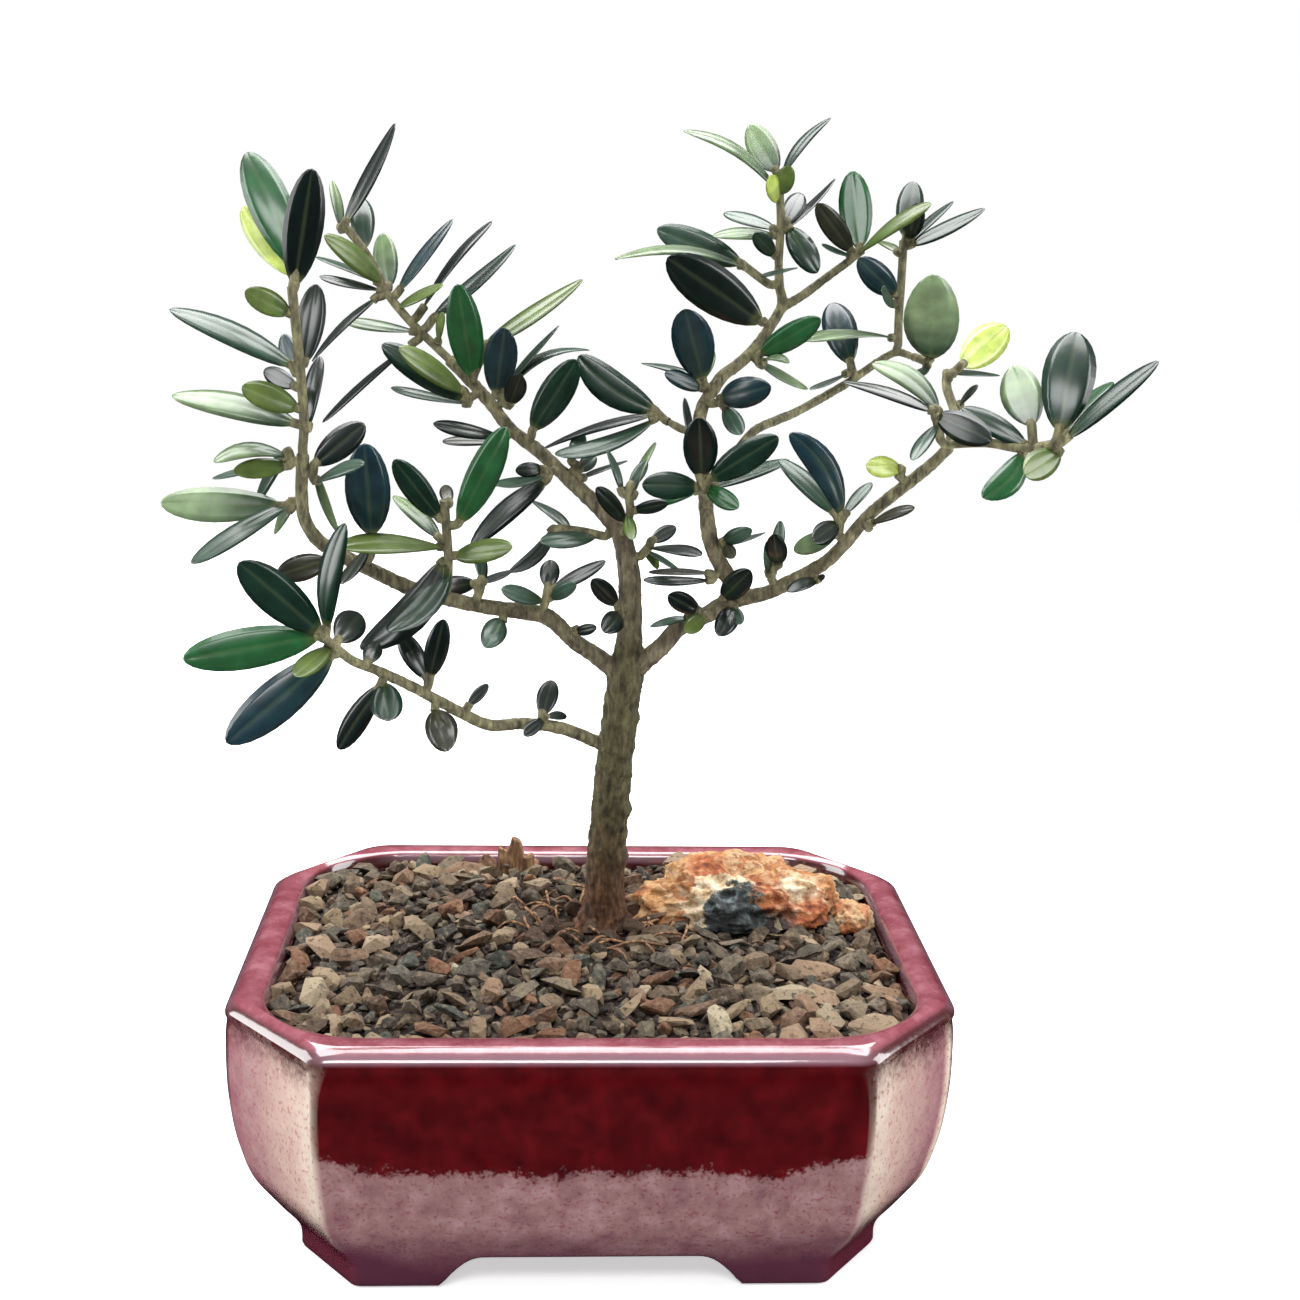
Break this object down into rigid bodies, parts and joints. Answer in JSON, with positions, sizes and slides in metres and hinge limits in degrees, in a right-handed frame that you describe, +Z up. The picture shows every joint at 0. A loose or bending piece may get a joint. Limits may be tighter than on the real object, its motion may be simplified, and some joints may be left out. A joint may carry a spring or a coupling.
{
  "type": "olive bonsai",
  "caption": "Small-leaved olive bonsai with an open, spreading crown, growing in a glazed eight-sided tray pot with grit soil and a resting stone.",
  "frame": {"origin": "on the surface that the pot's feet stand on, below the middle of the whole outline, so the pot itself stands a little to the left of it", "axes": "+Z up, +X to the right along the pot's long side, -Y towards the front of the pot"},
  "size_m": [0.2022, 0.134, 0.244],
  "materials": {
    "oxblood_glaze": "glossy oxblood glaze",
    "grit_soil": "loose grit and bark",
    "ochre_stone": "rough ochre stone with a dark patch",
    "cream_stone": "rough cream stone",
    "bark": "weathered bark",
    "olive_bark": "grey-brown olive bark",
    "left_upright_shoot_leaf": "young twig with waxy evergreen leaves",
    "left_side_shoot_leaf": "young twig with waxy evergreen leaves",
    "left_low_shoot_leaf": "young twig with waxy evergreen leaves",
    "left_inner_shoot_leaf": "young twig with waxy evergreen leaves",
    "left_blue_shoot_leaf": "young twig with waxy evergreen leaves",
    "centre_left_shoot_leaf": "young twig with waxy evergreen leaves",
    "left_under_leaf_leaf": "young twig with waxy evergreen leaves",
    "low_rosette_shoot_leaf": "young twig with waxy evergreen leaves",
    "low_hanging_shoot_leaf": "young twig with waxy evergreen leaves",
    "low_upper_shoot_leaf": "young twig with waxy evergreen leaves",
    "low_round_leaf_leaf": "young twig with waxy evergreen leaves",
    "low_tiny_leaf_leaf": "young twig with waxy evergreen leaves",
    "low_near_shoot_leaf": "young twig with waxy evergreen leaves",
    "limb_hanging_leaf_leaf": "young twig with waxy evergreen leaves",
    "limb_upper_shoot_leaf": "young twig with waxy evergreen leaves",
    "limb_tiny_leaf_leaf": "young twig with waxy evergreen leaves",
    "limb_dark_shoot_leaf": "young twig with waxy evergreen leaves",
    "leader_left_shoot_leaf": "young twig with waxy evergreen leaves",
    "leader_front_leaves_leaf": "young twig with waxy evergreen leaves",
    "limb_front_shoot_leaf": "young twig with waxy evergreen leaves",
    "limb_brown_shoot_leaf": "young twig with waxy evergreen leaves",
    "limb_olive_shoot_leaf": "young twig with waxy evergreen leaves",
    "limb_tall_shoot_leaf": "young twig with waxy evergreen leaves",
    "limb_grey_shoot_leaf": "young twig with waxy evergreen leaves",
    "limb_dark_leaf_leaf": "young twig with waxy evergreen leaves",
    "limb_small_shoot_leaf": "young twig with waxy evergreen leaves",
    "upper_left_shoot_leaf": "young twig with waxy evergreen leaves",
    "centre_tuft_leaf": "young twig with waxy evergreen leaves",
    "leader_right_shoot_leaf": "young twig with waxy evergreen leaves",
    "riser_left_leaves_leaf": "young twig with waxy evergreen leaves",
    "right_small_shoot_leaf": "young twig with waxy evergreen leaves",
    "right_under_leaf_leaf": "young twig with waxy evergreen leaves",
    "fork_front_leaves_leaf": "young twig with waxy evergreen leaves",
    "fork_dark_leaves_leaf": "young twig with waxy evergreen leaves",
    "riser_grey_leaf_leaf": "young twig with waxy evergreen leaves",
    "front_rosette_shoot_leaf": "young twig with waxy evergreen leaves",
    "little_twig_shoot_leaf": "young twig with waxy evergreen leaves",
    "riser_right_shoot_leaf": "young twig with waxy evergreen leaves",
    "riser_left_shoot_leaf": "young twig with waxy evergreen leaves",
    "limb_right_shoot_leaf": "young twig with waxy evergreen leaves",
    "round_leaf_shoot_leaf": "young twig with waxy evergreen leaves",
    "big_dark_leaf_leaf": "young twig with waxy evergreen leaves",
    "crossing_shoot_leaf": "young twig with waxy evergreen leaves",
    "top_shoot_leaf": "young twig with waxy evergreen leaves",
    "crown_right_shoot_leaf": "young twig with waxy evergreen leaves",
    "upright_twig_shoot_leaf": "young twig with waxy evergreen leaves",
    "big_round_leaf_shoot_leaf": "young twig with waxy evergreen leaves",
    "lime_leaf_shoot_leaf": "young twig with waxy evergreen leaves",
    "right_dark_shoot_leaf": "young twig with waxy evergreen leaves",
    "right_rosette_shoot_leaf": "young twig with waxy evergreen leaves",
    "right_lime_leaf_leaf": "young twig with waxy evergreen leaves",
    "right_inner_shoot_leaf": "young twig with waxy evergreen leaves",
    "right_outer_leaf_leaf": "young twig with waxy evergreen leaves"
  },
  "bodies": {
    "root": {"pot": "oxblood_glaze", "soil": "grit_soil", "ochre_stone": "ochre_stone", "cream_stone": "cream_stone", "bark_chip": "bark", "trunk_and_limbs": "olive_bark", "left_upright_shoot": "left_upright_shoot_leaf", "left_side_shoot": "left_side_shoot_leaf", "left_low_shoot": "left_low_shoot_leaf", "left_inner_shoot": "left_inner_shoot_leaf", "left_blue_shoot": "left_blue_shoot_leaf", "centre_left_shoot": "centre_left_shoot_leaf", "left_under_leaf": "left_under_leaf_leaf", "low_rosette_shoot": "low_rosette_shoot_leaf", "low_hanging_shoot": "low_hanging_shoot_leaf", "low_upper_shoot": "low_upper_shoot_leaf", "low_round_leaf": "low_round_leaf_leaf", "low_tiny_leaf": "low_tiny_leaf_leaf", "low_near_shoot": "low_near_shoot_leaf", "limb_hanging_leaf": "limb_hanging_leaf_leaf", "limb_upper_shoot": "limb_upper_shoot_leaf", "limb_tiny_leaf": "limb_tiny_leaf_leaf", "limb_dark_shoot": "limb_dark_shoot_leaf", "leader_left_shoot": "leader_left_shoot_leaf", "leader_front_leaves": "leader_front_leaves_leaf", "limb_front_shoot": "limb_front_shoot_leaf", "limb_brown_shoot": "limb_brown_shoot_leaf", "limb_olive_shoot": "limb_olive_shoot_leaf", "limb_tall_shoot": "limb_tall_shoot_leaf", "limb_grey_shoot": "limb_grey_shoot_leaf", "limb_dark_leaf": "limb_dark_leaf_leaf", "limb_small_shoot": "limb_small_shoot_leaf", "upper_left_shoot": "upper_left_shoot_leaf", "centre_tuft": "centre_tuft_leaf", "leader_right_shoot": "leader_right_shoot_leaf", "riser_left_leaves": "riser_left_leaves_leaf", "right_small_shoot": "right_small_shoot_leaf", "right_under_leaf": "right_under_leaf_leaf", "fork_front_leaves": "fork_front_leaves_leaf", "fork_dark_leaves": "fork_dark_leaves_leaf", "riser_grey_leaf": "riser_grey_leaf_leaf", "front_rosette_shoot": "front_rosette_shoot_leaf", "little_twig_shoot": "little_twig_shoot_leaf", "riser_right_shoot": "riser_right_shoot_leaf", "riser_left_shoot": "riser_left_shoot_leaf", "limb_right_shoot": "limb_right_shoot_leaf", "round_leaf_shoot": "round_leaf_shoot_leaf", "big_dark_leaf": "big_dark_leaf_leaf", "crossing_shoot": "crossing_shoot_leaf", "top_shoot": "top_shoot_leaf", "crown_right_shoot": "crown_right_shoot_leaf", "upright_twig_shoot": "upright_twig_shoot_leaf", "big_round_leaf_shoot": "big_round_leaf_shoot_leaf", "lime_leaf_shoot": "lime_leaf_shoot_leaf", "right_dark_shoot": "right_dark_shoot_leaf", "right_rosette_shoot": "right_rosette_shoot_leaf", "right_lime_leaf": "right_lime_leaf_leaf", "right_inner_shoot": "right_inner_shoot_leaf", "right_outer_leaf": "right_outer_leaf_leaf"}
  },
  "joints": []
}
